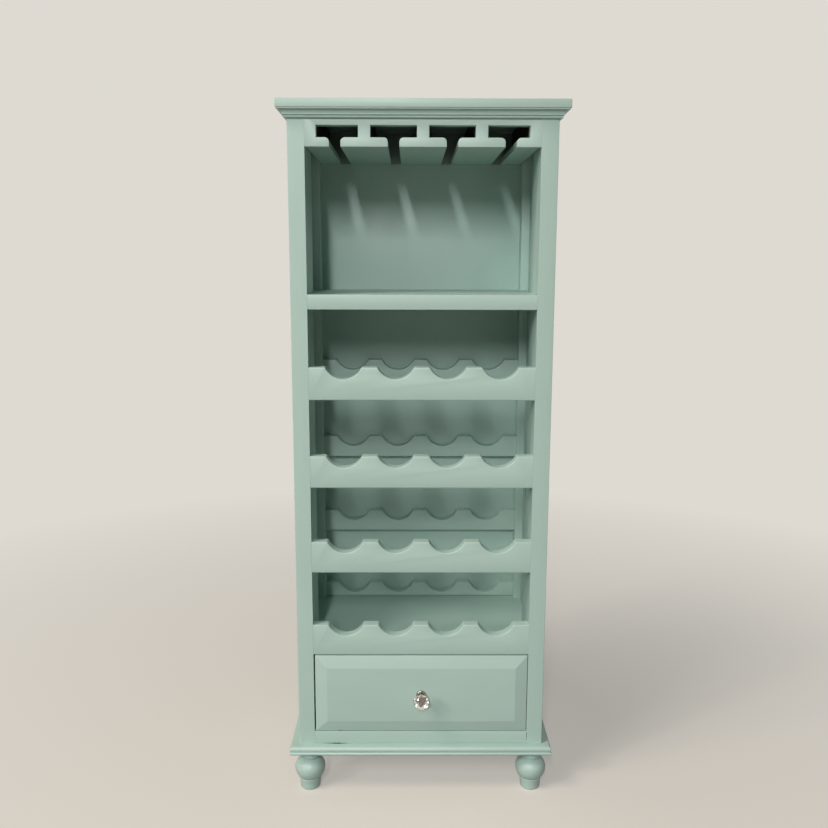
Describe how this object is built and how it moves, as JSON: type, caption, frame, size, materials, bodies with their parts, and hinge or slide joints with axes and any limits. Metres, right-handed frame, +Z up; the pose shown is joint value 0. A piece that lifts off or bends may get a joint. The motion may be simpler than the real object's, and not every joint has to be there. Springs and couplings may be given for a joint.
{
  "type": "wine cabinet",
  "caption": "Tall free-standing wine cabinet: slotted stemware rack, open shelf, scalloped bottle rails, a drawer with a faceted knob, moulded top and base, turned bun feet.",
  "frame": {"origin": "on the floor, centred left to right and front to back on the footprint from the knob's tip to the back panel", "axes": "+Z up, +X to the right as seen from the front, front faces -Y"},
  "size_m": [0.546, 0.365, 1.3995],
  "materials": {
    "painted_wood": "satin mint furniture paint, brushed by hand over an older finish",
    "stained_wood": "old dark brown finish left unpainted",
    "drawer_wood": "clear sealed hardwood",
    "steel": "zinc plated",
    "knob_metal": "polished nickel plate, darkened with age",
    "crystal": "clear, cut in facets"
  },
  "bodies": {
    "cabinet": {"base_board": "painted_wood", "foot_front_left": "painted_wood", "foot_front_right": "painted_wood", "foot_rear_left": "painted_wood", "foot_rear_right": "painted_wood", "foot_bolt_front_left": "steel", "foot_bolt_front_right": "steel", "foot_bolt_rear_left": "steel", "foot_bolt_rear_right": "steel", "top_board": "painted_wood", "crown_moulding_front": "painted_wood", "crown_moulding_left": "painted_wood", "crown_moulding_right": "painted_wood", "left_stile": "painted_wood", "right_stile": "painted_wood", "bottom_rail": "painted_wood", "shelf_rail": "painted_wood", "stemware_rail": "painted_wood", "cradle_rail_front_1": "painted_wood", "cradle_rail_front_2": "painted_wood", "cradle_rail_front_3": "painted_wood", "cradle_rail_front_4": "painted_wood", "cradle_rail_rear_1": "painted_wood", "cradle_rail_rear_2": "painted_wood", "cradle_rail_rear_3": "painted_wood", "cradle_rail_rear_4": "painted_wood", "stemware_hanger_1": "painted_wood", "stemware_hanger_2": "painted_wood", "stemware_hanger_3": "painted_wood", "stemware_hanger_4": "painted_wood", "stemware_hanger_5": "painted_wood", "stemware_spacer_1": "stained_wood", "stemware_spacer_2": "stained_wood", "stemware_spacer_3": "stained_wood", "stemware_spacer_4": "stained_wood", "stemware_spacer_5": "stained_wood", "left_front_post": "painted_wood", "right_front_post": "painted_wood", "left_rear_post": "painted_wood", "right_rear_post": "painted_wood", "left_side_panel": "painted_wood", "right_side_panel": "painted_wood", "left_side_top_rail": "painted_wood", "right_side_top_rail": "painted_wood", "left_side_bottom_rail": "painted_wood", "right_side_bottom_rail": "painted_wood", "left_drawer_runner": "stained_wood", "right_drawer_runner": "stained_wood", "rear_bottom_rail": "stained_wood", "back_panel": "painted_wood", "stemware_shelf": "painted_wood", "dust_board": "painted_wood"},
    "drawer": {"drawer_front": "painted_wood", "drawer_side_left": "drawer_wood", "drawer_side_right": "drawer_wood", "drawer_back": "drawer_wood", "drawer_bottom": "drawer_wood", "knob_base": "knob_metal", "knob_crystal": "crystal", "knob_screw": "steel"}
  },
  "joints": [
    {"name": "drawer_slide", "type": "slide", "parent": "cabinet", "child": "drawer", "axis": [0, -1, 0], "range_m": [0, 0.22]}
  ]
}
